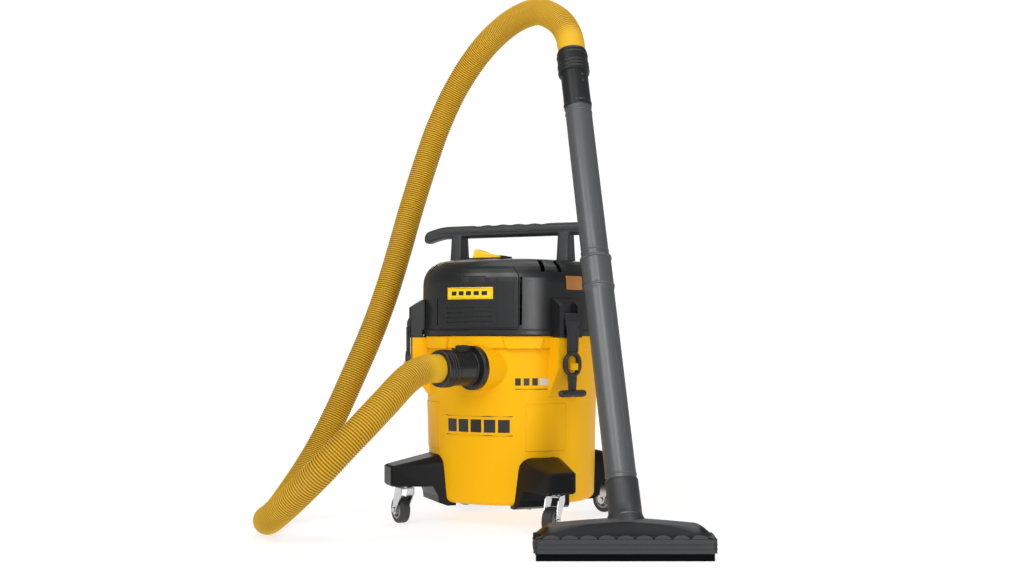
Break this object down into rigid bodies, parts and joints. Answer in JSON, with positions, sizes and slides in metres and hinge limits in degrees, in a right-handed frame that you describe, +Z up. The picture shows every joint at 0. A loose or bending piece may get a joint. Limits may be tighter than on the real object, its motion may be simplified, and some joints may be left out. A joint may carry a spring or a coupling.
{
  "type": "wet and dry canister vacuum",
  "caption": "Canister vacuum for wet and dry pick-up on swivelling casters, with a latched motor head, a ribbed hose, joined wands and a wide floor nozzle.",
  "frame": {"origin": "point on the ground straight under the tank's axis", "axes": "+Z up along the tank's axis; the front, with the hose inlet, the badge and the switch, faces -Y; +X is the vacuum's left-hand side as it faces you, towards the floor nozzle"},
  "size_m": [0.9246, 0.7332, 1.0683],
  "materials": {
    "tank_plastic": "semi-gloss moulded polypropylene, yellow",
    "trim_yellow": "semi-gloss moulded, bright yellow",
    "hose_plastic": "satin corrugated polyethylene, ochre yellow",
    "black_plastic": "satin moulded, black",
    "handle_plastic": "satin moulded, near black",
    "wand_plastic": "satin moulded, dark grey",
    "hub_plastic": "satin moulded, grey",
    "float_plastic": "matte, off-white",
    "inset_amber": "semi-gloss, amber brown",
    "filter_paper": "pleated filter paper, off-white",
    "seal_rubber": "matte black rubber",
    "strap_rubber": "satin black rubber",
    "wheel_rubber": "satin black rubber",
    "zinc_steel": "zinc plated, satin",
    "motor_metal": "satin sheet steel",
    "impeller_metal": "satin stamped aluminium"
  },
  "bodies": {
    "vacuum": {"tank": "tank_plastic", "tank_gasket": "seal_rubber", "inlet_flange": "black_plastic", "foot_front_left": "black_plastic", "foot_front_right": "black_plastic", "foot_rear_left": "black_plastic", "foot_rear_right": "black_plastic", "foot_screws": "zinc_steel", "lid_deck": "black_plastic", "dome": "black_plastic", "front_panel": "black_plastic", "blank_badge": "trim_yellow", "side_inset": "inset_amber", "handle": "handle_plastic", "handle_screws": "zinc_steel", "switch_bezel": "black_plastic", "blower_port": "black_plastic", "cord_gland": "seal_rubber", "latch_bracket_left": "black_plastic", "latch_bracket_right": "black_plastic", "latch_pin_left": "zinc_steel", "latch_pin_right": "zinc_steel", "motor": "motor_metal", "turbine_housing": "black_plastic", "float_cage": "black_plastic", "filter": "filter_paper", "filter_cap": "black_plastic", "hose": "hose_plastic", "inlet_cuff": "black_plastic", "wand_cuff": "black_plastic", "wand_upper": "wand_plastic", "wand_lower": "wand_plastic", "nozzle_body": "wand_plastic", "nozzle_base": "wand_plastic", "nozzle_strips": "seal_rubber"},
    "caster_front_left": {"fork_front_left": "zinc_steel", "axle_front_left": "zinc_steel"},
    "caster_front_right": {"fork_front_right": "zinc_steel", "axle_front_right": "zinc_steel"},
    "caster_rear_left": {"fork_rear_left": "zinc_steel", "axle_rear_left": "zinc_steel"},
    "caster_rear_right": {"fork_rear_right": "zinc_steel", "axle_rear_right": "zinc_steel"},
    "wheel_front_left": {"hub_front_left": "hub_plastic", "tyre_front_left": "wheel_rubber"},
    "wheel_front_right": {"hub_front_right": "hub_plastic", "tyre_front_right": "wheel_rubber"},
    "wheel_rear_left": {"hub_rear_left": "hub_plastic", "tyre_rear_left": "wheel_rubber"},
    "wheel_rear_right": {"hub_rear_right": "hub_plastic", "tyre_rear_right": "wheel_rubber"},
    "strap_left": {"latch_strap_left": "strap_rubber"},
    "strap_right": {"latch_strap_right": "strap_rubber"},
    "rocker": {"switch_paddle": "trim_yellow"},
    "turbine": {"impeller": "impeller_metal"},
    "float": {"float_cup": "float_plastic"},
    "button": {"cuff_button": "black_plastic"}
  },
  "joints": [
    {"name": "swivel_front_left", "type": "hinge", "parent": "vacuum", "child": "caster_front_left", "pos_m": [-0.16122, -0.16122, 0.09], "axis": [0, 0, 1], "continuous": true},
    {"name": "spin_front_left", "type": "hinge", "parent": "caster_front_left", "child": "wheel_front_left", "pos_m": [-0.1774, -0.14946, 0.027], "axis": [-0.5878, -0.809, 0], "continuous": true},
    {"name": "swivel_front_right", "type": "hinge", "parent": "vacuum", "child": "caster_front_right", "pos_m": [0.16122, -0.16122, 0.09], "axis": [0, 0, 1], "continuous": true},
    {"name": "spin_front_right", "type": "hinge", "parent": "caster_front_right", "child": "wheel_front_right", "pos_m": [0.16122, -0.18122, 0.027], "axis": [1, 0, 0], "continuous": true},
    {"name": "swivel_rear_left", "type": "hinge", "parent": "vacuum", "child": "caster_rear_left", "pos_m": [-0.16122, 0.16122, 0.09], "axis": [0, 0, 1], "continuous": true},
    {"name": "spin_rear_left", "type": "hinge", "parent": "caster_rear_left", "child": "wheel_rear_left", "pos_m": [-0.17935, 0.15277, 0.027], "axis": [0.4226, -0.9063, 0], "continuous": true},
    {"name": "swivel_rear_right", "type": "hinge", "parent": "vacuum", "child": "caster_rear_right", "pos_m": [0.16122, 0.16122, 0.09], "axis": [0, 0, 1], "continuous": true},
    {"name": "spin_rear_right", "type": "hinge", "parent": "caster_rear_right", "child": "wheel_rear_right", "pos_m": [0.1422, 0.1674, 0.027], "axis": [-0.309, -0.9511, 0], "continuous": true},
    {"name": "latch_left", "type": "hinge", "parent": "vacuum", "child": "strap_left", "pos_m": [-0.17025, -0.11056, 0.412], "axis": [-0.5446, 0.8387, 0], "range_deg": [0, 95]},
    {"name": "latch_right", "type": "hinge", "parent": "vacuum", "child": "strap_right", "pos_m": [0.17025, -0.11056, 0.412], "axis": [-0.5446, -0.8387, 0], "range_deg": [0, 60]},
    {"name": "rocker_switch", "type": "hinge", "parent": "vacuum", "child": "rocker", "pos_m": [0, -0.108, 0.521], "axis": [0, 1, 0], "range_deg": [-28, 0]},
    {"name": "turbine_spin", "type": "hinge", "parent": "vacuum", "child": "turbine", "pos_m": [0, 0, 0.405], "axis": [0, 0, 1], "continuous": true},
    {"name": "float_rise", "type": "slide", "parent": "vacuum", "child": "float", "axis": [0, 0, 1], "range_m": [0, 0.04]},
    {"name": "button_press", "type": "slide", "parent": "vacuum", "child": "button", "axis": [0, 0, -1], "range_m": [0, 0.001]}
  ]
}
